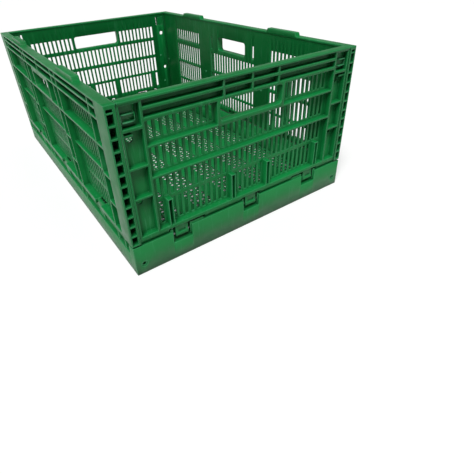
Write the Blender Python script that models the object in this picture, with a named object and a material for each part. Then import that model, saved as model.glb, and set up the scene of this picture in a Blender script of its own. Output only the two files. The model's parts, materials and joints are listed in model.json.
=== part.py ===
"""Collapsible storage crate with folding side walls.

Metres, +Z up, origin at the centre of the underside. The front and back walls are
the short ones, at -Y and +Y. The left and right walls are the long ones, at -X and +X.
The front wall and the left wall are modelled once. The back wall and the right wall
are the same mouldings, given half a turn about Z.

A wall is drawn as (u, v, depth): u runs along the wall, v runs up, and depth is the
crate's Y on a short wall and its X on a long wall.
"""
import math

import bmesh
import bpy
from mathutils import Matrix, Vector

MM = 0.001

# Overall size
WIDTH = 400 * MM
LENGTH = 600 * MM
HEIGHT = 240 * MM
RIM_WIDTH = 14 * MM
RIM_THICK = 3 * MM

# Base tray
SKIRT_THICK = 14 * MM
SKIRT_SHORT_TOP = 47 * MM
SKIRT_LONG_TOP = 31 * MM
SKIRT_SHELL = 3 * MM
UPSTAND_OUT = 195 * MM
UPSTAND_RIB_OUT = 199 * MM
FLOOR = (4 * MM, 7 * MM)
FLOOR_PANELS = 6
FLOOR_PANEL_PITCH = 62 * MM
FLOOR_SLOTS = (-10 * MM, 10 * MM)
FLOOR_SLOT_ROWS = 7
FLOOR_SLOT_WIDTH = 14 * MM
FLOOR_BAR = 15 * MM
NOTCH_WIDTH = 31 * MM
NOTCH_LOW = 28 * MM
CORNER_HOLE_X = 187.5 * MM
CORNER_HOLE_Z = 16 * MM
CORNER_HOLE_RADIUS = 2.6 * MM
CORNER_RECESS_RADIUS = 4.6 * MM
CORNER_RECESS_DEPTH = 0.9 * MM

# Hinges of the short walls, with pins along X
SHORT_HINGE_Y = 292.5 * MM
SHORT_HINGE_Z = 38 * MM
SHORT_HINGES = (-124 * MM, 0.0, 124 * MM)
LUG_WIDTH = 20 * MM
LUG_RADIUS = 5.5 * MM
LUG_HALF_ARM = 4.5 * MM
LUG_WINDOW = (6 * MM, 40.8 * MM, 44.8 * MM, 1.5 * MM)

# Clearance under the short walls round each hinge: near and far side, and its top
HINGE_RELIEF_MIDDLE = 19 * MM
HINGE_RELIEF_OUTER = (85 * MM, 144 * MM)
HINGE_RELIEF_TOP = 53.5 * MM

# Lips and ears that stand up from the skirt inside that clearance
LIP_Y = (294.8 * MM, 297 * MM)
LIP_TOP = 49.8 * MM
LIP_NEAR = 87.5 * MM
LIP_FAR = 142 * MM
EAR_WIDTH = 2 * MM
EAR_LOW = 30 * MM

# Slope on the skirt's inner top edge, which the short walls swing past
SWING_BEVEL = 1.8 * MM

# Hinges of the long walls, with pins along Y
LONG_HINGE_X = 193.5 * MM
LONG_HINGE_Z = 53 * MM
LONG_HINGES = (-176 * MM, 0.0, 176 * MM)
KNUCKLE_WIDTH = 22 * MM
KNUCKLE_RADIUS = 3.5 * MM

PIN_RADIUS = 1.5 * MM
BORE_RADIUS = 1.7 * MM
PIN_SIDES = 12
PIN_GRIP = 6 * MM

# Walls
SKIN = 2.6 * MM
RIB = 3 * MM
SHORT_OUT = 299 * MM
SHORT_IN = 287 * MM
SHORT_HALF = 186.5 * MM
SHORT_LOW = 48.5 * MM
SHORT_CHAMFER = (2 * MM, 5.5 * MM)
LONG_OUT = 200 * MM
LONG_IN = 187 * MM
LONG_LOW = 49.5 * MM
BAY_TOP = HEIGHT - RIM_THICK
SHORT_SHOULDER = 236.4 * MM
SLOT_WIDTH = 5.5 * MM

# Slot rows from the top row down: lower and upper end
SHORT_ROWS = ((185.5 * MM, 210.5 * MM), (143 * MM, 177.5 * MM),
              (102 * MM, 135.5 * MM), (61 * MM, 96 * MM))
SHORT_PITCH = 9.45 * MM
SHORT_SLOTS = 32
SHORT_SLOTS_BESIDE_HAND = 10
SHORT_BRACKETS = (1, 12, 19, 30)
BRACKET_HALF = (2.3 * MM, 3.9 * MM)
BRACKET_TOP = (98.4 * MM, 100 * MM)
LONG_ROWS = ((183.5 * MM, 208 * MM), (136 * MM, 174 * MM),
             (92 * MM, 130 * MM), (60 * MM, 87 * MM))
LONG_PITCH = 9.64 * MM
LONG_MID_SLOTS = 16
LONG_SIDE_SLOTS = 11
LONG_SIDE_CENTRE = 176 * MM

# Hand holes
SHORT_HAND_HALF = 53 * MM
SHORT_HAND = (185 * MM, 212 * MM)
LONG_HAND_HALF = 47 * MM
LONG_HAND = (183.5 * MM, 210 * MM)
HAND_RADIUS = 5 * MM
HAND_FRAME = 4 * MM

# Level ribs of the short walls: lower and upper face
SHORT_TOP_BAR = (225 * MM, 229 * MM)
SHORT_SECOND_BAR = (212 * MM, 216.5 * MM)
SHORT_SHELF_HIGH = (179 * MM, 182 * MM)
SHORT_SHELF_LOW = (137 * MM, 140 * MM)
SHORT_SILL = 59 * MM
SHORT_DIVIDER = 45.7 * MM
COLUMN_IN = 157 * MM
COLUMN_RIBS = ((204.5 * MM, 208.5 * MM), (156.5 * MM, 159.5 * MM), (114.5 * MM, 117.5 * MM))
COLUMN_TOP = 235 * MM
COLUMN_HOLES = ((174 * MM, 193 * MM, 4.4 * MM), (175 * MM, 107 * MM, 3.8 * MM))
STUD = (172 * MM, 198 * MM, 201 * MM)

# Level ribs and posts of the long walls
LONG_TOP_BAR = (228 * MM, 231 * MM)
LONG_SECOND_BAR = (215.5 * MM, 218.5 * MM)
LONG_SHELF_HIGH = (179 * MM, 182 * MM)
LONG_SHELF_LOW = (131.5 * MM, 134.5 * MM)
LONG_SHELF_LOW_OUT = 195 * MM
LONG_SILL = 56.5 * MM
LONG_POSTS = (87 * MM, 110 * MM, 246 * MM)
LONG_STILE = 268 * MM
POST_RIBS = (97 * MM, 139 * MM)

# Open pockets in the end faces of the long walls
POCKET_COUNT = 12
POCKET_LOW = 52 * MM
POCKET_PITCH = 15 * MM
POCKET_WALL = 2.5 * MM
POCKET_IN = 190.5 * MM
POCKET_OUT = 198 * MM
POCKET_DEPTH = 18 * MM
TOP_POCKET = (231.5 * MM, 235 * MM)

# Stacking tabs on the long rims
TAB_NEAR = 111.5 * MM
TAB_FAR = 187 * MM
TAB_IN = 186 * MM
TAB_OUT = 196 * MM
TAB_HEIGHT = 6 * MM
TAB_SLOPE = 3 * MM

# Latches in the top bays of the short walls
LATCH_TRAVEL = 4 * MM
LATCH_GAP = 0.4 * MM
LATCH_PLATE_X = (164.8 * MM, 182.9 * MM)
LATCH_PLATE_Z = (210.5 * MM, 233.5 * MM)
LATCH_PLATE_THICK = 2.3 * MM
LATCH_WINDOW_X = (162 * MM, 181 * MM)
LATCH_WINDOW_Z = (212.5 * MM, 231.5 * MM)
LATCH_NOSE_Z = (216 * MM, 228 * MM)
LATCH_GRIP_X = (165.5 * MM, 182.5 * MM)
LATCH_GRIP_Z = (214.5 * MM, 225 * MM)
LATCH_GRIP_HIGH = 3.5 * MM
LATCH_LIP = 1.2 * MM

OVERLAP = 0.2 * MM
BEYOND = 1 * MM

# How a drawing's (u, v, depth) lies in the crate
FLAT = Matrix.Identity(4)
FACING_Y = Matrix(((1, 0, 0, 0), (0, 0, 1, 0), (0, 1, 0, 0), (0, 0, 0, 1)))
FACING_X = Matrix(((0, 0, 1, 0), (1, 0, 0, 0), (0, 1, 0, 0), (0, 0, 0, 1)))
HALF_TURN = Matrix.Rotation(math.pi, 4, "Z")
MIRROR_X = Matrix.Diagonal((-1, 1, 1, 1))
MIRROR_Y = Matrix.Diagonal((1, -1, 1, 1))


# ---------------------------------------------------------------- building blocks

def clear_scene():
    """Remove every object that the file starts with."""
    for item in list(bpy.data.objects):
        bpy.data.objects.remove(item, do_unlink=True)


def solid(shape, frame):
    """A new object from a bmesh drawn as (u, v, depth)."""
    bmesh.ops.transform(shape, matrix=frame, verts=shape.verts)
    bmesh.ops.recalc_face_normals(shape, faces=shape.faces)
    mesh = bpy.data.meshes.new("solid")
    shape.to_mesh(mesh)
    shape.free()
    item = bpy.data.objects.new("solid", mesh)
    bpy.context.scene.collection.objects.link(item)
    return item


def blocks(rectangles, low, high, frame):
    """Separate boxes over (u0, u1, v0, v1) rectangles, between two depths."""
    shape = bmesh.new()
    for u0, u1, v0, v1 in rectangles:
        centre = Vector((u0 + u1, v0 + v1, low + high)) / 2
        size = Vector((u1 - u0, v1 - v0, high - low))
        bmesh.ops.create_cube(shape, size=1, matrix=Matrix.LocRotScale(centre, None, size))
    return solid(shape, frame)


def box(x0, x1, y0, y1, z0, z1):
    """One box in crate coordinates."""
    return blocks([(x0, x1, y0, y1)], z0, z1, FLAT)


def rods(centres, radius, low, high, frame, sides=PIN_SIDES):
    """Separate round bars between two depths, at (u, v) centres."""
    shape = bmesh.new()
    for u, v in centres:
        middle = Matrix.Translation((u, v, (low + high) / 2))
        bmesh.ops.create_cone(shape, cap_ends=True, segments=sides, radius1=radius,
                              radius2=radius, depth=high - low, matrix=middle)
    return solid(shape, frame)


def plate(outline, low, high, frame):
    """A flat outline with thickness, between two depths."""
    curve = bpy.data.curves.new("outline", "CURVE")
    curve.dimensions = "2D"
    curve.fill_mode = "BOTH"
    curve.extrude = (high - low) / 2
    spline = curve.splines.new("POLY")
    spline.points.add(len(outline) - 1)
    for point, (u, v) in zip(spline.points, outline):
        point.co = (u, v, 0, 1)
    spline.use_cyclic_u = True
    drawn = bpy.data.objects.new("outline", curve)
    bpy.context.scene.collection.objects.link(drawn)
    bpy.context.view_layer.update()
    graph = bpy.context.evaluated_depsgraph_get()
    mesh = bpy.data.meshes.new_from_object(drawn.evaluated_get(graph))
    bpy.data.objects.remove(drawn, do_unlink=True)
    shape = bmesh.new()
    shape.from_mesh(mesh)
    bpy.data.meshes.remove(mesh)
    bmesh.ops.remove_doubles(shape, verts=shape.verts, dist=0.01 * MM)
    return solid(shape, frame @ Matrix.Translation((0, 0, (low + high) / 2)))


def arc(cu, cv, radius, start, sweep, steps):
    """Points along an arc, both ends included."""
    points = []
    for step in range(steps + 1):
        angle = start + sweep * step / steps
        points.append((cu + radius * math.cos(angle), cv + radius * math.sin(angle)))
    return points


def rounded(u0, u1, v0, v1, radius, steps=3):
    """The outline of a rectangle with round corners."""
    corners = ((u1 - radius, v1 - radius), (u0 + radius, v1 - radius),
               (u0 + radius, v0 + radius), (u1 - radius, v0 + radius))
    points = []
    for quarter, (cu, cv) in enumerate(corners):
        points += arc(cu, cv, radius, quarter * math.pi / 2, math.pi / 2, steps)
    return points


def either_side(u0, u1, v0, v1):
    """A rectangle and its mirror image in u."""
    return [(u0, u1, v0, v1), (-u1, -u0, v0, v1)]


def ordered(side, near, far):
    """Two distances from the middle, on one side of it, as low and high."""
    return sorted((side * near, side * far))


def combine(target, others, operation):
    """Join the others to the target, or cut them from it."""
    for other in others:
        modifier = target.modifiers.new("combine", "BOOLEAN")
        modifier.operation = operation
        modifier.solver = "EXACT"
        modifier.object = other
        bpy.context.view_layer.update()
        graph = bpy.context.evaluated_depsgraph_get()
        result = bpy.data.meshes.new_from_object(target.evaluated_get(graph))
        target.modifiers.clear()
        before = target.data
        target.data = result
        bpy.data.meshes.remove(before)
        bpy.data.objects.remove(other, do_unlink=True)


def fuse(target, *others):
    combine(target, others, "UNION")


def cut(target, *others):
    combine(target, others, "DIFFERENCE")


def clean(item):
    """Merge double corners and drop edges that lie within a flat face."""
    shape = bmesh.new()
    shape.from_mesh(item.data)
    bmesh.ops.remove_doubles(shape, verts=shape.verts, dist=0.01 * MM)
    bmesh.ops.dissolve_limit(shape, angle_limit=0.001, verts=shape.verts, edges=shape.edges)
    bmesh.ops.triangulate(shape, faces=shape.faces)
    shape.to_mesh(item.data)
    shape.free()
    return item


def place(item, name, material, origin, parent=None, move=None):
    """Name a sub-part, move it to its place and set its origin, on its joint if it has one."""
    mesh = item.data
    point = Vector(origin)
    if move is not None:
        mesh.transform(move)
        point = move @ point
        if move.determinant() < 0:
            mesh.flip_normals()
    mesh.transform(Matrix.Translation(-point))
    mesh.materials.clear()
    mesh.materials.append(material)
    item.name = name
    mesh.name = name
    item.location = point
    if parent is not None:
        item.parent = parent
        item.location = point - parent.location
    crate.objects.link(item)
    bpy.context.scene.collection.objects.unlink(item)
    return item


def twin(item):
    """A second object with the same shape, back in crate coordinates."""
    mesh = item.data.copy()
    mesh.transform(Matrix.Translation(item.location))
    copied = bpy.data.objects.new("twin", mesh)
    bpy.context.scene.collection.objects.link(copied)
    return copied


def plastic(name, colour, roughness, metallic=0.0):
    """A Principled material."""
    material = bpy.data.materials.new(name)
    material.use_nodes = True
    shader = material.node_tree.nodes["Principled BSDF"]
    shader.inputs["Base Color"].default_value = (*colour, 1)
    shader.inputs["Roughness"].default_value = roughness
    shader.inputs["Metallic"].default_value = metallic
    material.diffuse_color = (*colour, 1)
    return material


# ---------------------------------------------------------------- walls

def spaced(count, pitch, middle=0.0):
    """Centres of a row of equally spaced things."""
    return [middle + pitch * (index - (count - 1) / 2) for index in range(count)]


def slots(centres, row):
    """Upright slots of one row, as rectangles."""
    half = SLOT_WIDTH / 2
    return [(centre - half, centre + half, *row) for centre in centres]


def short_slots():
    """Every slot of a short wall: the top row leaves room for the hand hole."""
    centres = spaced(SHORT_SLOTS, SHORT_PITCH)
    beside = centres[:SHORT_SLOTS_BESIDE_HAND] + centres[-SHORT_SLOTS_BESIDE_HAND:]
    cuts = slots(beside, SHORT_ROWS[0])
    for row in SHORT_ROWS[1:-1]:
        cuts += slots(centres, row)
    open_centres = [u for index, u in enumerate(centres) if index not in SHORT_BRACKETS]
    return cuts + slots(open_centres, SHORT_ROWS[-1])


def short_brackets():
    """Narrow hollow brackets that stand where four slots of the lowest row are left out."""
    centres = spaced(SHORT_SLOTS, SHORT_PITCH)
    near, far = BRACKET_HALF
    ribs = []
    for index in SHORT_BRACKETS:
        centre = centres[index]
        for low, high in ((-far, -near), (near, far)):
            ribs.append((centre + low, centre + high, SHORT_SILL - OVERLAP, BRACKET_TOP[1]))
        ribs.append((centre - near - OVERLAP, centre + near + OVERLAP, *BRACKET_TOP))
    return ribs


def short_bays():
    """The open bays between the ribs on a short wall's outer side."""
    half_rib = RIB / 2
    bays = []
    dividers = (0.0, SHORT_DIVIDER, COLUMN_IN + half_rib)
    for low, high in ((SHORT_TOP_BAR[1], BAY_TOP), (SHORT_SECOND_BAR[1], SHORT_TOP_BAR[0])):
        for near, far in zip(dividers, dividers[1:]):
            bays += either_side(near + half_rib, far - half_rib, low, high)
    bays += either_side(SHORT_HAND_HALF + HAND_FRAME, COLUMN_IN,
                        SHORT_SHELF_HIGH[1], SHORT_SECOND_BAR[0])
    bays.append((-COLUMN_IN, COLUMN_IN, SHORT_SHELF_LOW[1], SHORT_SHELF_HIGH[0]))
    bays.append((-COLUMN_IN, COLUMN_IN, SHORT_SILL, SHORT_SHELF_LOW[0]))
    high = COLUMN_TOP
    for low_face, high_face in COLUMN_RIBS:
        bays += either_side(COLUMN_IN + RIB, SHORT_HALF - RIB, high_face, high)
        high = low_face
    bays += either_side(COLUMN_IN + RIB, SHORT_HALF - RIB, SHORT_SILL, high)
    return bays


def hinge_lugs(wall):
    """Lugs that reach down into the skirt's notches, bored for the pins."""
    start = math.pi / 2 + math.asin(LUG_HALF_ARM / LUG_RADIUS)
    sweep = 2 * math.pi - 2 * math.asin(LUG_HALF_ARM / LUG_RADIUS)
    top = HINGE_RELIEF_TOP + OVERLAP
    outline = [(-SHORT_HINGE_Y + LUG_HALF_ARM, top), (-SHORT_HINGE_Y - LUG_HALF_ARM, top)]
    outline += arc(-SHORT_HINGE_Y, SHORT_HINGE_Z, LUG_RADIUS, start, sweep, 12)
    for centre in SHORT_HINGES:
        low, high = centre - LUG_WIDTH / 2, centre + LUG_WIDTH / 2
        fuse(wall, plate(outline, low, high, FACING_X))
        cut(wall, rods([(-SHORT_HINGE_Y, SHORT_HINGE_Z)], BORE_RADIUS,
                       low - BEYOND, high + BEYOND, FACING_X))
    half_window, low, high, depth = LUG_WINDOW
    windows = [(u - half_window, u + half_window, low, high) for u in SHORT_HINGES]
    face = -SHORT_HINGE_Y - LUG_HALF_ARM
    cut(wall, blocks(windows, face - BEYOND, face + depth, FACING_Y))


def lower_edge(wall):
    """Slope the outer lower edge and clear a space for the skirt's lips round each hinge."""
    across, up = SHORT_CHAMFER
    foot = (-SHORT_OUT + across, SHORT_LOW)
    slope = [(foot[0] - 1.5 * across, foot[1] + 1.5 * up),
             (foot[0] + 0.5 * across, foot[1] - 0.5 * up),
             (foot[0] - 1.5 * across, foot[1] - 0.5 * up)]
    cut(wall, plate(slope, -SHORT_HALF - BEYOND, SHORT_HALF + BEYOND, FACING_X))
    low, high = SHORT_LOW - BEYOND, HINGE_RELIEF_TOP
    reliefs = either_side(*HINGE_RELIEF_OUTER, low, high)
    reliefs.append((-HINGE_RELIEF_MIDDLE, HINGE_RELIEF_MIDDLE, low, high))
    cut(wall, blocks(reliefs, -SHORT_OUT - BEYOND, -SHORT_IN + BEYOND, FACING_Y))


def short_wall():
    """The front wall: a slotted skin inside, a lattice of ribs outside, a rim and lugs."""
    rim_half = WIDTH / 2 - RIM_WIDTH - 0.5 * MM
    rim_low = HEIGHT - RIM_THICK
    skin_out = -SHORT_IN - SKIN
    wall = box(-SHORT_HALF, SHORT_HALF, -SHORT_OUT, -SHORT_IN, SHORT_LOW, SHORT_SHOULDER)
    fuse(wall, box(-rim_half, rim_half, -SHORT_OUT, -SHORT_IN,
                   SHORT_SHOULDER - OVERLAP, rim_low + OVERLAP))
    fuse(wall, box(-rim_half, rim_half, -LENGTH / 2, -LENGTH / 2 + RIM_WIDTH, rim_low, HEIGHT))

    outer = -SHORT_OUT - BEYOND
    inner = -SHORT_IN + BEYOND
    cut(wall, blocks(short_bays(), outer, skin_out, FACING_Y))
    cut(wall, blocks(short_slots(), outer, inner, FACING_Y))
    cut(wall, plate(rounded(-SHORT_HAND_HALF, SHORT_HAND_HALF, *SHORT_HAND, HAND_RADIUS),
                    outer, inner, FACING_Y))
    cut(wall, blocks(either_side(*LATCH_WINDOW_X, *LATCH_WINDOW_Z), outer, inner, FACING_Y))
    nose_path = either_side(SHORT_HALF - RIB - BEYOND, SHORT_HALF + BEYOND,
                            LATCH_NOSE_Z[0] - LATCH_GAP, LATCH_NOSE_Z[1] + LATCH_GAP)
    cut(wall, blocks(nose_path, skin_out - 3 * MM, skin_out - 0.01 * MM, FACING_Y))
    for u, v, radius in COLUMN_HOLES:
        cut(wall, rods([(u, v), (-u, v)], radius, outer, inner, FACING_Y, 8))
    stud_in, stud_low, stud_high = STUD
    studs = either_side(stud_in, SHORT_HALF - RIB + OVERLAP, stud_low, stud_high)
    fuse(wall, blocks(studs, -SHORT_OUT + 2 * MM, skin_out + OVERLAP, FACING_Y))
    for rib in short_brackets():
        fuse(wall, blocks([rib], -SHORT_OUT, skin_out + OVERLAP, FACING_Y))
    lower_edge(wall)
    hinge_lugs(wall)
    return clean(wall)


def long_slots():
    """Every slot of a long wall: three groups, with one slot each side of the hand hole."""
    middle = spaced(LONG_MID_SLOTS, LONG_PITCH)
    sides = spaced(LONG_SIDE_SLOTS, LONG_PITCH, LONG_SIDE_CENTRE)
    sides += spaced(LONG_SIDE_SLOTS, LONG_PITCH, -LONG_SIDE_CENTRE)
    cuts = slots(sides + [middle[0], middle[-1]], LONG_ROWS[0])
    for row in LONG_ROWS[1:]:
        cuts += slots(sides + middle, row)
    return cuts


def long_bays():
    """The open bays between the posts and shelves on a long wall's outer side."""
    half_rib = RIB / 2
    post_in, post_out, post_end = LONG_POSTS
    middle = (half_rib, post_in - half_rib)
    gap = (post_in + half_rib, post_out - half_rib)
    side = (post_out + half_rib, post_end - half_rib)
    corner = (post_end + half_rib, LONG_STILE)
    bays = []
    for low, high in ((LONG_TOP_BAR[1], BAY_TOP), (LONG_SECOND_BAR[1], LONG_TOP_BAR[0])):
        for near, far in (middle, gap, side, corner):
            bays += either_side(near, far, low, high)
    low, high = LONG_SHELF_HIGH[1], LONG_SECOND_BAR[0]
    bays += either_side(LONG_HAND_HALF + HAND_FRAME, middle[1], low, high)
    for near, far in (gap, side, corner):
        bays += either_side(near, far, low, high)
    high = LONG_SHELF_HIGH[0]
    bays.append((-middle[1], middle[1], LONG_SILL, high))
    bays += either_side(*side, LONG_SILL, high)
    levels = (LONG_SILL - half_rib, *POST_RIBS, high + half_rib)
    for near, far in (gap, corner):
        for below, above in zip(levels, levels[1:]):
            bays += either_side(near, far, below + half_rib, above - half_rib)
    return bays


def end_pockets(wall):
    """A ladder of open pockets in each end face."""
    rungs = []
    for index in range(POCKET_COUNT):
        low = POCKET_LOW + POCKET_PITCH * index
        rungs.append((-POCKET_OUT, -POCKET_IN, low, low + POCKET_PITCH - POCKET_WALL))
    rungs.append((-POCKET_OUT, -POCKET_IN, *TOP_POCKET))
    for end in (-1, 1):
        near, far = ordered(end, LENGTH / 2 + BEYOND, LENGTH / 2 - POCKET_DEPTH)
        cut(wall, blocks(rungs, near, far, FACING_Y))


def stacking_tabs(wall):
    """Two raised blocks on the rim that key into the base of the crate above."""
    for end in (-1, 1):
        near, far = ordered(end, TAB_NEAR, TAB_FAR)
        outline = [(near, HEIGHT - OVERLAP), (far, HEIGHT - OVERLAP),
                   (far - TAB_SLOPE, HEIGHT + TAB_HEIGHT), (near + TAB_SLOPE, HEIGHT + TAB_HEIGHT)]
        fuse(wall, plate(outline, -TAB_OUT, -TAB_IN, FACING_X))


def long_hinge_seats(wall):
    """Notches for the tray's knuckles, with bores for the pins beside them."""
    half_notch = KNUCKLE_WIDTH / 2 + 0.5 * MM
    notch_top = LONG_HINGE_Z + KNUCKLE_RADIUS + 0.5 * MM
    for centre in LONG_HINGES:
        cut(wall, rods([(-LONG_HINGE_X, LONG_HINGE_Z)], BORE_RADIUS,
                       centre - half_notch - PIN_GRIP, centre + half_notch + PIN_GRIP, FACING_Y))
        cut(wall, box(-LONG_OUT - BEYOND, -LONG_IN + BEYOND, centre - half_notch,
                      centre + half_notch, LONG_LOW - BEYOND, notch_top))


def long_wall():
    """The left wall: a slotted skin inside, posts and shelves outside, hollow end stiles."""
    half = LENGTH / 2
    rim_low = HEIGHT - RIM_THICK
    skin_out = -LONG_IN - SKIN
    wall = box(-LONG_OUT, -LONG_IN, -half, half, LONG_LOW, rim_low + OVERLAP)
    fuse(wall, box(-WIDTH / 2, -WIDTH / 2 + RIM_WIDTH, -half, half, rim_low, HEIGHT))
    outer = -LONG_OUT - BEYOND
    inner = -LONG_IN + BEYOND
    cut(wall, blocks(long_bays(), outer, skin_out, FACING_X))
    post_in, post_out, post_end = LONG_POSTS
    shelves = [(-post_in, post_in, *LONG_SHELF_LOW)]
    shelves += either_side(post_out, post_end, *LONG_SHELF_LOW)
    fuse(wall, blocks(shelves, -LONG_SHELF_LOW_OUT, skin_out + OVERLAP, FACING_X))
    cut(wall, blocks(long_slots(), outer, inner, FACING_X))
    cut(wall, plate(rounded(-LONG_HAND_HALF, LONG_HAND_HALF, *LONG_HAND, HAND_RADIUS),
                    outer, inner, FACING_X))
    end_pockets(wall)
    stacking_tabs(wall)
    long_hinge_seats(wall)
    return clean(wall)


# ---------------------------------------------------------------- base tray

def skirt_profile():
    """A short side of the skirt, seen from the end, with a notch for each lug."""
    outline = [(-WIDTH / 2, 0), (WIDTH / 2, 0), (WIDTH / 2, SKIRT_SHORT_TOP)]
    half = NOTCH_WIDTH / 2
    for centre in reversed(SHORT_HINGES):
        outline += [(centre + half, SKIRT_SHORT_TOP), (centre + half, NOTCH_LOW),
                    (centre - half, NOTCH_LOW), (centre - half, SKIRT_SHORT_TOP)]
    outline.append((-WIDTH / 2, SKIRT_SHORT_TOP))
    return outline


def floor_plate():
    """The floor, with long slots."""
    reach_x = WIDTH / 2 - SKIRT_THICK
    reach_y = LENGTH / 2 - SKIRT_THICK
    pitch_y = 2 * (reach_y - FLOOR_BAR / 2) / FLOOR_SLOT_ROWS
    half_length = (pitch_y - FLOOR_BAR) / 2
    half_width = FLOOR_SLOT_WIDTH / 2
    openings = []
    for panel in spaced(FLOOR_PANELS, FLOOR_PANEL_PITCH):
        for aside in FLOOR_SLOTS:
            for cy in spaced(FLOOR_SLOT_ROWS, pitch_y):
                openings.append((panel + aside - half_width, panel + aside + half_width,
                                 cy - half_length, cy + half_length))
    floor = box(-reach_x - OVERLAP, reach_x + OVERLAP, -reach_y - OVERLAP, reach_y + OVERLAP,
                *FLOOR)
    cut(floor, blocks(openings, FLOOR[0] - BEYOND, FLOOR[1] + BEYOND, FLAT))
    return floor


def long_sides(tray):
    """The low skirt of the long sides with its ribbed upstand."""
    reach = LENGTH / 2 - SKIRT_THICK + OVERLAP
    for side in (-1, 1):
        near, far = ordered(side, WIDTH / 2 - SKIRT_THICK, WIDTH / 2)
        fuse(tray, box(near, far, -reach, reach, 0, SKIRT_LONG_TOP))
        near, far = ordered(side, LONG_IN, UPSTAND_OUT)
        fuse(tray, box(near, far, -reach, reach, SKIRT_LONG_TOP - OVERLAP, SKIRT_SHORT_TOP))
        near, far = ordered(side, UPSTAND_OUT - OVERLAP, UPSTAND_RIB_OUT)
        ribs = []
        for post in (*LONG_POSTS, LONG_STILE + RIB / 2):
            for end in (-1, 1):
                ribs.append((near, far, end * post - RIB / 2, end * post + RIB / 2))
        fuse(tray, blocks(ribs, SKIRT_LONG_TOP - OVERLAP, SKIRT_SHORT_TOP - 1.5 * MM, FLAT))


def skirt_hollows(tray):
    """Cells under the skirt, open downwards."""
    inset = SKIRT_SHELL
    cell = (WIDTH - 2 * inset) / 4
    for end in (-1, 1):
        near, far = ordered(end, LENGTH / 2 - SKIRT_THICK + inset, LENGTH / 2 - inset)
        cells = [(cx - (cell - inset) / 2, cx + (cell - inset) / 2, near, far)
                 for cx in spaced(4, cell)]
        cut(tray, blocks(cells, -BEYOND, NOTCH_LOW - inset, FLAT))
    cell = (LENGTH - 2 * SKIRT_THICK - 2 * inset) / 6
    for side in (-1, 1):
        near, far = ordered(side, WIDTH / 2 - SKIRT_THICK + inset, WIDTH / 2 - inset)
        cells = [(near, far, cy - (cell - inset) / 2, cy + (cell - inset) / 2)
                 for cy in spaced(6, cell)]
        cut(tray, blocks(cells, -BEYOND, SKIRT_LONG_TOP - inset, FLAT))


def corner_holes(tray):
    """A small round hole near each end of the short sides."""
    holes = [(CORNER_HOLE_X, CORNER_HOLE_Z), (-CORNER_HOLE_X, CORNER_HOLE_Z)]
    for end in (-1, 1):
        near, far = ordered(end, LENGTH / 2 - SKIRT_SHELL - BEYOND, LENGTH / 2 + BEYOND)
        cut(tray, rods(holes, CORNER_HOLE_RADIUS, near, far, FACING_Y))
        near, far = ordered(end, LENGTH / 2 - CORNER_RECESS_DEPTH, LENGTH / 2 + BEYOND)
        cut(tray, rods(holes, CORNER_RECESS_RADIUS, near, far, FACING_Y, 16))


def lips_and_ears(tray):
    """Lips on the skirt's top edge beside the hinges, and ears at both sides of each notch."""
    half = NOTCH_WIDTH / 2
    outer = SHORT_HINGES[-1]
    low = SKIRT_SHORT_TOP - OVERLAP
    raised = either_side(LIP_NEAR, outer - half + OVERLAP, low, LIP_TOP)
    raised += either_side(outer + half - OVERLAP, LIP_FAR, low, LIP_TOP)
    for centre in SHORT_HINGES:
        raised.append((centre - half - OVERLAP, centre - half + EAR_WIDTH, EAR_LOW, LIP_TOP))
        raised.append((centre + half - EAR_WIDTH, centre + half + OVERLAP, EAR_LOW, LIP_TOP))
    for end in (-1, 1):
        for piece in raised:
            fuse(tray, blocks([piece], *ordered(end, *LIP_Y), FACING_Y))


def swing_bevel(tray):
    """Slope the skirt's inner top edge at both ends, so that a folding wall clears it."""
    inner = -LENGTH / 2 + SKIRT_THICK
    top = SKIRT_SHORT_TOP
    more = 0.5 * MM
    for end in (-1, 1):
        corner = [(inner - SWING_BEVEL - more, top + more), (inner + more, top + more),
                  (inner + more, top - SWING_BEVEL - more)]
        if end > 0:
            corner = [(-u, v) for u, v in reversed(corner)]
        cut(tray, plate(corner, -SHORT_HALF - 1.7 * MM, SHORT_HALF + 1.7 * MM, FACING_X))


def short_hinge_bores(tray):
    """Blind bores beside each notch for the pins of the short walls."""
    reach = NOTCH_WIDTH / 2 + PIN_GRIP
    ends = [(SHORT_HINGE_Y, SHORT_HINGE_Z), (-SHORT_HINGE_Y, SHORT_HINGE_Z)]
    for centre in SHORT_HINGES:
        cut(tray, rods(ends, BORE_RADIUS, centre - reach, centre + reach, FACING_X))


def long_hinge_knuckles(tray):
    """Knuckles that stand up into the notches of the long walls."""
    for side in (-1, 1):
        u = side * LONG_HINGE_X
        outline = [(u + KNUCKLE_RADIUS, SKIRT_LONG_TOP - OVERLAP)]
        outline += arc(u, LONG_HINGE_Z, KNUCKLE_RADIUS, 0, math.pi, 8)
        outline.append((u - KNUCKLE_RADIUS, SKIRT_LONG_TOP - OVERLAP))
        for centre in LONG_HINGES:
            low, high = centre - KNUCKLE_WIDTH / 2, centre + KNUCKLE_WIDTH / 2
            fuse(tray, plate(outline, low, high, FACING_Y))
            cut(tray, rods([(u, LONG_HINGE_Z)], BORE_RADIUS, low - BEYOND, high + BEYOND,
                           FACING_Y))


def base_tray():
    """The slotted floor with its hollow skirt, hinge notches and knuckles."""
    inner = LENGTH / 2 - SKIRT_THICK
    tray = plate(skirt_profile(), -LENGTH / 2, -inner, FACING_Y)
    fuse(tray, plate(skirt_profile(), inner, LENGTH / 2, FACING_Y))
    long_sides(tray)
    fuse(tray, floor_plate())
    skirt_hollows(tray)
    corner_holes(tray)
    lips_and_ears(tray)
    swing_bevel(tray)
    short_hinge_bores(tray)
    long_hinge_knuckles(tray)
    return clean(tray)


# ---------------------------------------------------------------- latches and pins

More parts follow.
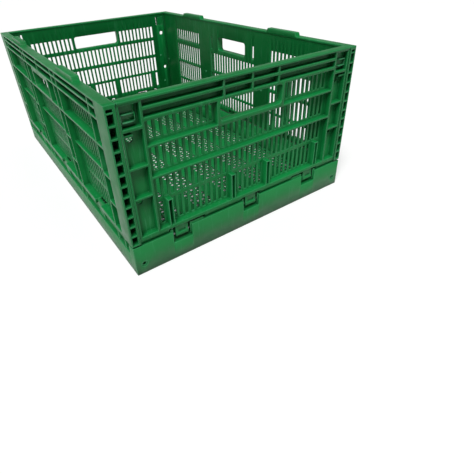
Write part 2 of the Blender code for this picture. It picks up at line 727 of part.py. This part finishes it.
def latch():
    """The sliding latch at the front wall's left end: plate, window block, nose and grip."""
    back = -SHORT_IN - SKIN - 0.3 * MM
    face = back - LATCH_PLATE_THICK
    plate_in, plate_out = LATCH_PLATE_X
    body = box(-plate_out, -plate_in, face, back, *LATCH_PLATE_Z)
    block_in = LATCH_WINDOW_X[0] + LATCH_TRAVEL + LATCH_GAP
    block_out = LATCH_WINDOW_X[1] - LATCH_GAP
    fuse(body, box(-block_out, -block_in, back - OVERLAP, -SHORT_IN,
                   LATCH_WINDOW_Z[0] + LATCH_GAP, LATCH_WINDOW_Z[1] - LATCH_GAP))
    fuse(body, box(-SHORT_HALF + OVERLAP, -plate_out + OVERLAP, face, back, *LATCH_NOSE_Z))
    grip_in, grip_out = LATCH_GRIP_X
    grip_low, grip_high = LATCH_GRIP_Z
    top = face - LATCH_GRIP_HIGH
    fuse(body, plate(rounded(-grip_out, -grip_in, grip_low, grip_high, 2.5 * MM),
                     top, face + OVERLAP, FACING_Y))
    lips = [(-grip_out + BEYOND, -grip_in - 2 * MM, grip_low, grip_low + LATCH_LIP),
            (-grip_out + BEYOND, -grip_in - 2 * MM, grip_high - LATCH_LIP, grip_high)]
    fuse(body, blocks(lips, top - 1.5 * MM, top + OVERLAP, FACING_Y))
    return clean(body)


def add_walls():
    """The four walls; each origin is on the wall's hinge axis."""
    hinge = (0, -SHORT_HINGE_Y, SHORT_HINGE_Z)
    front = place(short_wall(), "front_wall", WALL_GREEN, hinge)
    back = place(twin(front), "back_wall", WALL_GREEN, hinge, move=HALF_TURN)
    hinge = (-LONG_HINGE_X, 0, LONG_HINGE_Z)
    left = place(long_wall(), "left_wall", WALL_GREEN, hinge)
    place(twin(left), "right_wall", WALL_GREEN, hinge, move=HALF_TURN)
    return front, back


def add_latches(front, back):
    """One latch at each end of the short walls, carried by its wall."""
    corner = (-LATCH_PLATE_X[1], -SHORT_IN - SKIN, sum(LATCH_NOSE_Z) / 2)
    places = (("front_latch_left", front, FLAT), ("front_latch_right", front, MIRROR_X),
              ("back_latch_right", back, HALF_TURN), ("back_latch_left", back, MIRROR_Y))
    for name, wall, move in places:
        place(latch(), name, LATCH_GREEN, corner, wall, move)


def add_pins():
    """Three hinge pins for each wall."""
    reach = NOTCH_WIDTH / 2 + PIN_GRIP - 0.3 * MM
    for spot, centre in zip(("left", "middle", "right"), SHORT_HINGES):
        for end, move in (("front", FLAT), ("back", MIRROR_Y)):
            pin = rods([(-SHORT_HINGE_Y, SHORT_HINGE_Z)], PIN_RADIUS,
                       centre - reach, centre + reach, FACING_X)
            place(pin, f"{end}_pin_{spot}", PIN_STEEL,
                  (centre, -SHORT_HINGE_Y, SHORT_HINGE_Z), move=move)
    reach = KNUCKLE_WIDTH / 2 + PIN_GRIP
    for spot, centre in zip(("front", "middle", "back"), LONG_HINGES):
        for side, move in (("left", FLAT), ("right", MIRROR_X)):
            pin = rods([(-LONG_HINGE_X, LONG_HINGE_Z)], PIN_RADIUS,
                       centre - reach, centre + reach, FACING_Y)
            place(pin, f"{side}_pin_{spot}", PIN_STEEL,
                  (-LONG_HINGE_X, centre, LONG_HINGE_Z), move=move)


clear_scene()
crate = bpy.data.collections.new("collapsible_storage_crate")
bpy.context.scene.collection.children.link(crate)

BASE_GREEN = plastic("base_green", (0.022, 0.155, 0.062), 0.42)
WALL_GREEN = plastic("wall_green", (0.012, 0.140, 0.042), 0.38)
LATCH_GREEN = plastic("latch_green", (0.018, 0.150, 0.050), 0.40)
PIN_STEEL = plastic("pin_steel", (0.45, 0.46, 0.46), 0.30, 1.0)

place(base_tray(), "base_tray", BASE_GREEN, (0, 0, 0))
add_latches(*add_walls())
add_pins()
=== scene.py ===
import json
import math

import bmesh
import bpy
from mathutils import Matrix, Vector


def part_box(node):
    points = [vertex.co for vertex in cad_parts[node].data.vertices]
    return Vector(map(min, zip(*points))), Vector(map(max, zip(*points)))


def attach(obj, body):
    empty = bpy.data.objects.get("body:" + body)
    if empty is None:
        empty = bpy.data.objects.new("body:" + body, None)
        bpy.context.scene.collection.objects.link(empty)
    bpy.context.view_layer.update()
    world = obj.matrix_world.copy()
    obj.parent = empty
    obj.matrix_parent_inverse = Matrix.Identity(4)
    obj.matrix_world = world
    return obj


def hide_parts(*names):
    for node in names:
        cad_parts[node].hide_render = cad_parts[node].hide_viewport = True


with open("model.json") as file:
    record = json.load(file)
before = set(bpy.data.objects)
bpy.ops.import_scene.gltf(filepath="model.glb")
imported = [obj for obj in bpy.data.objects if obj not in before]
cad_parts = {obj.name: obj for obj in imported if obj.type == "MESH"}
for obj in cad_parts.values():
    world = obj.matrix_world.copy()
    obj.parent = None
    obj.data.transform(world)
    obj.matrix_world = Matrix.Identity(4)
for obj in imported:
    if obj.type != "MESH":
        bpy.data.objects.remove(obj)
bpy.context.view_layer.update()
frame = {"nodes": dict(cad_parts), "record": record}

MM = 0.001

# How finely the moulded edges are rounded.
EDGE_RADIUS = 0.45 * MM
LATCH_EDGE_RADIUS = 0.2 * MM
EDGE_STEPS = 2
SHARP_ANGLE = math.radians(50)
CRISP_ANGLE = math.radians(32)
FLAT_ANGLE = math.radians(1)
STRAIGHT_ANGLE = math.radians(5)

# How far the pale edge, part wear and part painted highlight, reaches from an outer edge, and painted shade
# from an inner corner.
RUB_AND_HIGHLIGHT_REACH = 1.4 * MM
PAINTED_SHADE_REACH = 13 * MM
NEARNESS_SAMPLES = 4

# The moulding's surface. A scale is a noise's, in the object's metres, and a range is the part of a noise
# or a mask that shows. MOST is how much of the colour it may take over.
CLOUD_SCALE = 9.0
CLOUD_RANGE = (0.35, 0.65)
# The pale outer edges: part wear, part painted highlight.
RUB_AND_HIGHLIGHT_RANGE = (0.12, 0.50)
RUB_AND_HIGHLIGHT_MOST = 0.80
STREAK_SCALE = 260.0
STREAK_RANGE = (0.58, 0.74)
STREAK_MOST = 0.28
STREAK_SQUASH = 0.08
# The painted shade that darkens inner corners and recesses.
PAINTED_SHADE_RANGE = (0.20, 0.80)
PAINTED_SHADE_MOST = 0.85
SCUFF_SCALE = 60.0
SCUFF_RANGE = (0.3, 0.7)
SCUFF_GLOSSIER = 0.06
SCUFF_DULLER = 0.08
GRAIN_SCALE = 1400.0
GRAIN_DEPTH = 0.05 * MM
PLASTIC_IOR = 1.49

# The pins' wire: its two greys and how its roughness varies.
WIRE_SCALE = 500.0
WIRE_DARK = (0.30, 0.31, 0.32)
WIRE_PALE = (0.55, 0.56, 0.57)
WIRE_ROUGHNESS = (0.25, 0.45)

# How corners are matched up, and the narrowest panel that a face is cut into.
WELD = 0.02 * MM
TOUCHING = 0.001 * MM
SNAP = 0.02 * MM
LEAST_PANEL = 1.5 * MM
SMALL_CURVE = 1.9 * MM

# The green of the moulding: its two cloudy tones, pale outer edges (part wear, part painted highlight) and
# painted shade in inner corners.
GREEN = (0.004, 0.212, 0.046)
GREEN_DEEP = (0.003, 0.172, 0.037)
GREEN_PALE_WEAR_AND_HIGHLIGHT = (0.080, 0.380, 0.180)
GREEN_PAINTED_SHADE = (0.001, 0.050, 0.012)

# Ejector marks on the walls' inner faces: each pair is distance from the middle and height.
DOME_RADIUS = 2.4 * MM
DOME_HEIGHT = 0.8 * MM
DOME_SEGMENTS = 16
SHORT_INNER_FACE = 287 * MM
LONG_INNER_FACE = 187 * MM
SHORT_MARKS = ((166 * MM, 138 * MM), (170 * MM, 70 * MM))
LONG_MARKS = ((100 * MM, 128 * MM), (283 * MM, 126 * MM), (290 * MM, 103 * MM))

# The hollow in a latch's finger grip, across, outwards and up.
LATCH_HOLLOW = ((160 * MM, 181.3 * MM), (292.6 * MM, 298 * MM), (216 * MM, 223.5 * MM))

# The path that a latch's nose runs in through a short wall's end rib.
LATCH_PATH = ((182 * MM, 187 * MM), (288.4 * MM, 292.6 * MM), (215.6 * MM, 228.4 * MM))

# The middle of the skirt's corner holes, where its faces are cut as well.
CORNER_HOLE_X = 187.5 * MM

# The mesh floor, between the inner faces of the skirt.
FLOOR_HALF_WIDTH = 186 * MM
FLOOR_HALF_LENGTH = 286 * MM
FLOOR_GRIP = 1 * MM
FLOOR_MARGIN = 1 * MM
FLOOR_LEVELS = (4.4 * MM, 7 * MM)
FLOOR_BANDS = 6
FLOOR_BAND = 44 * MM
FLOOR_BAND_HOLES = 4
FLOOR_PITCH = 9.4 * MM
FLOOR_HOLE = 7 * MM

# The studio: a sheet of white paper, one far soft light, and a sky with a brighter band round the
# horizon. The band's heights are sines of the angle above the horizon.
PAPER_SIZE = 40.0
PAPER_WHITE = 0.98
PAPER_ROUGHNESS = 0.9
LIGHT_DIRECTION = (0.35, 0.40, -1.0)
LIGHT_SPREAD = 26
LIGHT_STRENGTH = 3.3
SKY_STRENGTH = 0.10
BAND_STRENGTH = 0.75
BAND_FOOT = (-0.06, -0.04)
BAND_TOP = 0.20
BAND_FADE = 0.1

# The camera: where it stands, where it looks and how long its lens is.
CAMERA_PLACE = (-0.3143, -0.6746, 0.3680)
CAMERA_TURN = math.radians(-33.2)
CAMERA_PITCH = math.radians(-33.9)
CAMERA_ROLL = math.radians(-2.8)
CAMERA_LENS = 28.55
CAMERA_SHIFT = (0.0475, -0.0725)
CAMERA_NEAR = 0.02


def link(thing):
    """Puts a new object in the scene."""
    bpy.context.scene.collection.objects.link(thing)
    return thing


# ---------------------------------------------------------------- materials


def node(tree, kind, **inputs):
    """A shader node with its inputs set: a value is stored, a socket is linked."""
    made = tree.nodes.new(kind)
    for name, value in inputs.items():
        socket = made.inputs[name.replace("_", " ")]
        if isinstance(value, bpy.types.NodeSocket):
            tree.links.new(value, socket)
        else:
            socket.default_value = value
    return made


def noise(tree, coords, scale, detail=2.0):
    """Noise in the object's own metres."""
    return node(tree, "ShaderNodeTexNoise", Vector=coords, Scale=scale, Detail=detail).outputs["Fac"]


def remap(tree, value, low, high, out_low, out_high):
    """A value stretched from one range to another and kept inside it."""
    made = tree.nodes.new("ShaderNodeMapRange")
    tree.links.new(value, made.inputs["Value"])
    made.inputs["From Min"].default_value = low
    made.inputs["From Max"].default_value = high
    made.inputs["To Min"].default_value = out_low
    made.inputs["To Max"].default_value = out_high
    return made.outputs["Result"]


def mixed(tree, factor, a, b):
    """Two colours mixed by a factor."""
    made = tree.nodes.new("ShaderNodeMix")
    made.data_type = "RGBA"
    tree.links.new(factor, made.inputs["Factor"])
    for socket, value in ((made.inputs["A"], a), (made.inputs["B"], b)):
        if isinstance(value, bpy.types.NodeSocket):
            tree.links.new(value, socket)
        else:
            socket.default_value = (*value, 1.0)
    return made.outputs["Result"]


def nearness(tree, reach, inside):
    """How closed in a spot is: by other faces in front of it, or by an edge behind it."""
    made = tree.nodes.new("ShaderNodeAmbientOcclusion")
    made.inside = inside
    made.only_local = inside
    made.samples = NEARNESS_SAMPLES
    made.inputs["Distance"].default_value = reach
    return remap(tree, made.outputs["AO"], 0.0, 1.0, 1.0, 0.0)


def moulded_plastic(name, roughness, grain, shine):
    """Moulded plastic: cloudy colour, streaks, pale edges that are part wear and part painted highlight,
    painted shade in corners and a fine even grain.
    """
    made = bpy.data.materials.new(name)
    made.use_nodes = True
    tree = made.node_tree
    shader = tree.nodes["Principled BSDF"]
    coords = tree.nodes.new("ShaderNodeTexCoord").outputs["Object"]
    clouds = remap(tree, noise(tree, coords, CLOUD_SCALE, 3.0), *CLOUD_RANGE, 0.0, 1.0)
    colour = mixed(tree, clouds, GREEN_DEEP, GREEN)
    # Pale outer edges: partly wear, partly a painted highlight on edges that catch the light.
    rubbed_and_highlit = remap(tree, nearness(tree, RUB_AND_HIGHLIGHT_REACH, True), *RUB_AND_HIGHLIGHT_RANGE, 0.0, RUB_AND_HIGHLIGHT_MOST)
    stretched = tree.nodes.new("ShaderNodeMapping")
    stretched.inputs["Scale"].default_value = (1.0, 1.0, STREAK_SQUASH)
    tree.links.new(coords, stretched.inputs["Vector"])
    marks = noise(tree, stretched.outputs["Vector"], STREAK_SCALE, 3.0)
    streaks = remap(tree, marks, *STREAK_RANGE, 0.0, STREAK_MOST)
    colour = mixed(tree, streaks, colour, GREEN_PALE_WEAR_AND_HIGHLIGHT)
    # Painted shade: the colour is darkened in inner corners and recesses, where shade falls.
    painted_shade = remap(tree, nearness(tree, PAINTED_SHADE_REACH, False), *PAINTED_SHADE_RANGE, 0.0, PAINTED_SHADE_MOST)
    colour_with_painted_light = mixed(tree, painted_shade, mixed(tree, rubbed_and_highlit, colour, GREEN_PALE_WEAR_AND_HIGHLIGHT), GREEN_PAINTED_SHADE)
    tree.links.new(colour_with_painted_light, shader.inputs["Base Color"])
    scuffs = noise(tree, coords, SCUFF_SCALE, 4.0)
    varied = remap(tree, scuffs, *SCUFF_RANGE, roughness - SCUFF_GLOSSIER, roughness + SCUFF_DULLER)
    tree.links.new(varied, shader.inputs["Roughness"])
    bump = node(tree, "ShaderNodeBump", Height=noise(tree, coords, GRAIN_SCALE, 1.0), Strength=grain)
    bump.inputs["Distance"].default_value = GRAIN_DEPTH
    tree.links.new(bump.outputs["Normal"], shader.inputs["Normal"])
    shader.inputs["IOR"].default_value = PLASTIC_IOR
    shader.inputs["Specular IOR Level"].default_value = shine
    return made


def pin_metal():
    """Drawn steel wire, with cloudy marks in its grey and its gloss."""
    made = bpy.data.materials.new("pin_wire")
    made.use_nodes = True
    tree = made.node_tree
    shader = tree.nodes["Principled BSDF"]
    coords = tree.nodes.new("ShaderNodeTexCoord").outputs["Object"]
    marks = noise(tree, coords, WIRE_SCALE, 3.0)
    tree.links.new(mixed(tree, marks, WIRE_DARK, WIRE_PALE), shader.inputs["Base Color"])
    tree.links.new(remap(tree, marks, *SCUFF_RANGE, *WIRE_ROUGHNESS), shader.inputs["Roughness"])
    shader.inputs["Metallic"].default_value = 1.0
    return made


wall_plastic = moulded_plastic("wall_moulding", roughness=0.40, grain=0.25, shine=0.25)
base_plastic = moulded_plastic("base_moulding", roughness=0.46, grain=0.45, shine=0.4)
latch_plastic = moulded_plastic("latch_moulding", roughness=0.36, grain=0.20, shine=0.35)
pin_steel = pin_metal()


# ------------------------------------------------------------------- pieces


def flattened(mesh, weld=TOUCHING):
    """The same shape with close corners joined and one face for each flat side."""
    bmesh.ops.remove_doubles(mesh, verts=mesh.verts, dist=weld)
    bmesh.ops.dissolve_limit(
        mesh, angle_limit=FLAT_ANGLE, verts=mesh.verts, edges=mesh.edges, use_dissolve_boundaries=False
    )
    return mesh


def welded(name):
    """A closed bmesh of a CAD node."""
    mesh = bmesh.new()
    mesh.from_mesh(frame["nodes"][name].data)
    return flattened(mesh, WELD)


def panelled(mesh, axes, through=()):
    """Cuts a shape's big faces into plain panels, so that no face has a hole in it."""
    cuts = {}
    for axis in axes:
        places = sorted({round(v.co[axis] / SNAP) * SNAP for v in mesh.verts})
        gaps = zip(places, places[1:])
        cuts[axis] = [(low + high) / 2 for low, high in gaps if high - low > LEAST_PANEL]
        if axis == 0:
            cuts[axis] += through
        direction = Vector((axis == 0, axis == 1, axis == 2))
        for place in cuts[axis]:
            everything = mesh.verts[:] + mesh.edges[:] + mesh.faces[:]
            bmesh.ops.bisect_plane(
                mesh, geom=everything, dist=TOUCHING / 10, plane_co=direction * place, plane_no=direction
            )

    def on_a_cut(edge):
        ends = [v.co for v in edge.verts]
        for axis, places in cuts.items():
            if abs(ends[0][axis] - ends[1][axis]) < TOUCHING:
                if any(abs(ends[0][axis] - place) < TOUCHING for place in places):
                    return True
        return False

    spare = [
        edge
        for edge in mesh.edges
        if len(edge.link_faces) == 2 and edge.calc_face_angle() < FLAT_ANGLE and not on_a_cut(edge)
    ]
    bmesh.ops.dissolve_edges(mesh, edges=spare, use_verts=True, use_face_split=False)
    return mesh


def on_a_small_curve(edge):
    """Whether an edge is one short step of a small round bore."""
    if edge.calc_length() > SMALL_CURVE:
        return False
    along = edge.verts[1].co - edge.verts[0].co
    for corner in edge.verts:
        for other in corner.link_edges:
            if other is not edge:
                turn = along.angle(other.other_vert(corner).co - corner.co)
                if min(turn, math.pi - turn) < STRAIGHT_ANGLE:
                    return False
    return True


def mark_edges(mesh):
    """Marks the edges that get rounded, and the ones that stay crisp."""
    weights = mesh.edges.layers.float.new("bevel_weight_edge")
    for edge in mesh.edges:
        angle = edge.calc_face_angle() if len(edge.link_faces) == 2 else 0
        rounded = angle > SHARP_ANGLE and not on_a_small_curve(edge)
        edge[weights] = float(rounded)
        edge.smooth = rounded or angle < CRISP_ANGLE


def body_of(name):
    """The body that a CAD node belongs to."""
    bodies = frame["record"]["behaviour"]["bodies"]
    return next(body for body, members in bodies.items() if name in members)


def moulded(name, material, shape, radius=EDGE_RADIUS, steps=EDGE_STEPS):
    """The finished piece for a CAD node: its shape with rounded edges, riding where the node rides."""
    data = bpy.data.meshes.new(name + "_moulding")
    mark_edges(shape)
    for face in shape.faces:
        face.smooth = True
    shape.to_mesh(data)
    shape.free()
    piece = link(bpy.data.objects.new(name + "_moulding", data))
    edges = piece.modifiers.new("rounded edges", "BEVEL")
    edges.width = radius
    edges.segments = steps
    edges.limit_method = "WEIGHT"
    edges.use_clamp_overlap = False
    edges.harden_normals = True
    data.materials.append(material)
    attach(piece, body_of(name))
    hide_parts(name)


def domes(mesh, spots, facing):
    """Small ejector marks: flat round domes on a face that looks along +X, -X, +Y or -Y."""
    for spot in spots:
        turn = Vector(facing).to_track_quat("Z", "Y").to_matrix().to_4x4()
        squash = Matrix.Diagonal((1, 1, DOME_HEIGHT / DOME_RADIUS, 1))
        place = Matrix.Translation(spot) @ turn @ squash
        bmesh.ops.create_uvsphere(
            mesh, u_segments=DOME_SEGMENTS, v_segments=DOME_SEGMENTS // 2, radius=DOME_RADIUS, matrix=place
        )


def cut_box(mesh, low, high):
    """The shape with a box taken out of it."""
    piece = bpy.data.meshes.new("piece")
    mesh.to_mesh(piece)
    mesh.free()
    body = link(bpy.data.objects.new("piece", piece))
    cutter_shape = bmesh.new()
    centre = (Vector(low) + Vector(high)) / 2
    size = Vector(high) - Vector(low)
    bmesh.ops.create_cube(cutter_shape, size=1, matrix=Matrix.LocRotScale(centre, None, size))
    cutter_mesh = bpy.data.meshes.new("cutter")
    cutter_shape.to_mesh(cutter_mesh)
    cutter_shape.free()
    cutter = link(bpy.data.objects.new("cutter", cutter_mesh))
    cut = body.modifiers.new("cut", "BOOLEAN")
    cut.operation = "DIFFERENCE"
    cut.solver = "EXACT"
    cut.object = cutter
    bpy.context.view_layer.update()
    result = bmesh.new()
    result.from_object(body, bpy.context.evaluated_depsgraph_get())
    bpy.data.objects.remove(body)
    bpy.data.objects.remove(cutter)
    return result


def short_wall(name):
    """A short wall with its latches' paths cut deeper and its ejector marks on the inner face."""
    end = math.copysign(1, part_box(name)[0].y)
    shape = welded(name)
    for side in (-1, 1):
        spans = [sorted((side * x for x in LATCH_PATH[0])), sorted((end * y for y in LATCH_PATH[1]))]
        spans.append(LATCH_PATH[2])
        shape = flattened(cut_box(shape, *zip(*spans)))
    shape = panelled(shape, (0, 1))
    spots = [(side * x, end * SHORT_INNER_FACE, z) for side in (-1, 1) for x, z in SHORT_MARKS]
    domes(shape, spots, (0, -end, 0))
    moulded(name, wall_plastic, shape)


def long_wall(name):
    """A long wall with its ejector marks on the inner face."""
    shape = panelled(welded(name), (0, 1))
    side = math.copysign(1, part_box(name)[0].x)
    spots = [(side * LONG_INNER_FACE, end * y, z) for end in (-1, 1) for y, z in LONG_MARKS]
    domes(shape, spots, (-side, 0, 0))
    moulded(name, wall_plastic, shape)


def lattice(columns, rows, low, high):
    """A plate with square holes: columns and rows are (low, high, is_hole) strips along X and Y."""
    mesh = bmesh.new()
    xs = [columns[0][0]] + [strip[1] for strip in columns]
    ys = [rows[0][0]] + [strip[1] for strip in rows]
    corners = {}
    for level, z in enumerate((low, high)):
        for i, x in enumerate(xs):
            for j, y in enumerate(ys):
                corners[i, j, level] = mesh.verts.new((x, y, z))

    def is_solid(i, j):
        inside = 0 <= i < len(columns) and 0 <= j < len(rows)
        return inside and not (columns[i][2] and rows[j][2])

    for i in range(len(columns)):
        for j in range(len(rows)):
            if not is_solid(i, j):
                continue
            ring = [(i, j), (i + 1, j), (i + 1, j + 1), (i, j + 1)]
            mesh.faces.new([corners[a, b, 1] for a, b in ring])
            mesh.faces.new([corners[a, b, 0] for a, b in reversed(ring)])
            neighbours = [(i, j - 1), (i + 1, j), (i, j + 1), (i - 1, j)]
            for step, beside in enumerate(neighbours):
                if not is_solid(*beside):
                    (a, b), (c, d) = ring[step], ring[(step + 1) % 4]
                    mesh.faces.new([corners[a, b, 0], corners[c, d, 0], corners[c, d, 1], corners[a, b, 1]])
    loose = [v for v in mesh.verts if not v.link_faces]
    bmesh.ops.delete(mesh, geom=loose, context="VERTS")
    return mesh


def strips(start, end, holes):
    """Strips between two ends: each hole is (low, high), and what is left between them is solid."""
    made = []
    place = start
    for low, high in holes:
        made.append((place, low, False))
        made.append((low, high, True))
        place = high
    made.append((place, end, False))
    return made


def fine_floor():
    """The mesh floor: bands of small square holes along the crate, with plain strips between."""
    across = FLOOR_HALF_WIDTH
    along = FLOOR_HALF_LENGTH
    hole_half = FLOOR_HOLE / 2
    band_pitch = (2 * across - FLOOR_BAND) / (FLOOR_BANDS - 1)
    columns = []
    for band in range(FLOOR_BANDS):
        middle = band_pitch * (band - (FLOOR_BANDS - 1) / 2)
        for index in range(FLOOR_BAND_HOLES):
            x = middle + FLOOR_PITCH * (index - (FLOOR_BAND_HOLES - 1) / 2)
            columns.append((x - hole_half, x + hole_half))
    row_count = int(2 * along / FLOOR_PITCH)
    rows = []
    for index in range(row_count):
        y = FLOOR_PITCH * (index - (row_count - 1) / 2)
        rows.append((y - hole_half, y + hole_half))
    reach_x = across + FLOOR_GRIP
    reach_y = along + FLOOR_GRIP
    return lattice(strips(-reach_x, reach_x, columns), strips(-reach_y, reach_y, rows), *FLOOR_LEVELS)


def base_tray():
    """The base: the CAD skirt with the slotted floor taken out and a fine mesh floor put in."""
    low = (-FLOOR_HALF_WIDTH, -FLOOR_HALF_LENGTH, -FLOOR_MARGIN)
    high = (FLOOR_HALF_WIDTH, FLOOR_HALF_LENGTH, FLOOR_LEVELS[1] + FLOOR_MARGIN)
    skirt = cut_box(welded("base_tray"), low, high)
    shape = panelled(flattened(skirt), (0, 1), through=(-CORNER_HOLE_X, CORNER_HOLE_X))
    floor = fine_floor()
    joined = bpy.data.meshes.new("floor_part")
    floor.to_mesh(joined)
    floor.free()
    shape.from_mesh(joined)
    bpy.data.meshes.remove(joined)
    moulded("base_tray", base_plastic, shape, steps=1)


def sliding_latch(name):
    """A latch with its finger grip hollowed out between the two lips."""
    low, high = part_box(name)
    sides = (math.copysign(1, low.x), math.copysign(1, low.y))
    spans = [sorted(sides[i] * edge for edge in LATCH_HOLLOW[i]) for i in (0, 1)]
    spans.append(LATCH_HOLLOW[2])
    shape = cut_box(welded(name), *zip(*spans))
    shape = panelled(flattened(shape), (0, 1, 2))
    moulded(name, latch_plastic, shape, LATCH_EDGE_RADIUS)


for wall in ("front_wall", "back_wall"):
    short_wall(wall)
for wall in ("left_wall", "right_wall"):
    long_wall(wall)
base_tray()
for latch in [n for n in frame["nodes"] if "latch" in n]:
    sliding_latch(latch)
for pin in [n for n in frame["nodes"] if "_pin_" in n]:
    frame["nodes"][pin].data.materials.clear()
    frame["nodes"][pin].data.materials.append(pin_steel)


# ------------------------------------------------------- floor, light, camera


def studio_floor():
    """A plain pale floor that reaches the horizon. It throws no diffuse light back onto the crate."""
    grid = bmesh.new()
    bmesh.ops.create_grid(grid, x_segments=4, y_segments=4, size=PAPER_SIZE)
    data = bpy.data.meshes.new("floor")
    grid.to_mesh(data)
    grid.free()
    floor = link(bpy.data.objects.new("floor", data))
    made = bpy.data.materials.new("floor_paper")
    made.use_nodes = True
    shader = made.node_tree.nodes["Principled BSDF"]
    shader.inputs["Base Color"].default_value = (PAPER_WHITE, PAPER_WHITE, PAPER_WHITE, 1.0)
    shader.inputs["Roughness"].default_value = PAPER_ROUGHNESS
    data.materials.append(made)
    floor.visible_diffuse = False


def softbox(name, direction, spread, strength):
    """A far soft light that shines along a direction."""
    data = bpy.data.lights.new(name, "SUN")
    data.angle = math.radians(spread)
    data.energy = strength
    lamp = link(bpy.data.objects.new(name, data))
    lamp.rotation_euler = Vector(direction).to_track_quat("-Z", "Y").to_euler()


def sky(strength, band_strength):
    """Soft light from all round, brighter in a band round the horizon. The camera sees it plain white."""
    world = bpy.data.worlds.new("studio")
    world.use_nodes = True
    tree = world.node_tree
    direction = tree.nodes.new("ShaderNodeTexCoord").outputs["Generated"]
    up = node(tree, "ShaderNodeSeparateXYZ", Vector=direction).outputs["Z"]
    rise = remap(tree, up, *BAND_FOOT, 0.0, 1.0)
    fall = remap(tree, up, BAND_TOP, BAND_TOP + BAND_FADE, 1.0, 0.0)
    band = tree.nodes.new("ShaderNodeMath")
    band.operation = "MULTIPLY"
    tree.links.new(rise, band.inputs[0])
    tree.links.new(fall, band.inputs[1])
    level = remap(tree, band.outputs["Value"], 0.0, 1.0, strength, band_strength)
    seen = tree.nodes.new("ShaderNodeMath")
    seen.operation = "MAXIMUM"
    tree.links.new(level, seen.inputs[0])
    tree.links.new(tree.nodes.new("ShaderNodeLightPath").outputs["Is Camera Ray"], seen.inputs[1])
    tree.links.new(seen.outputs["Value"], tree.nodes["Background"].inputs["Strength"])
    tree.nodes["Background"].inputs["Color"].default_value = (1.0, 1.0, 1.0, 1.0)
    bpy.context.scene.world = world


def camera():
    """The camera at the photograph's angle."""
    data = bpy.data.cameras.new("camera")
    data.lens = CAMERA_LENS
    data.shift_x, data.shift_y = CAMERA_SHIFT
    data.clip_start = CAMERA_NEAR
    eye = link(bpy.data.objects.new("camera", data))
    turn = Matrix.Rotation(CAMERA_TURN, 4, "Z")
    pitch = Matrix.Rotation(math.radians(90) + CAMERA_PITCH, 4, "X")
    roll = Matrix.Rotation(CAMERA_ROLL, 4, "Z")
    eye.matrix_world = Matrix.Translation(CAMERA_PLACE) @ turn @ pitch @ roll
    bpy.context.scene.camera = eye


studio_floor()
softbox("overhead", LIGHT_DIRECTION, LIGHT_SPREAD, LIGHT_STRENGTH)
sky(SKY_STRENGTH, BAND_STRENGTH)
camera()
bpy.context.scene.view_settings.view_transform = "Standard"
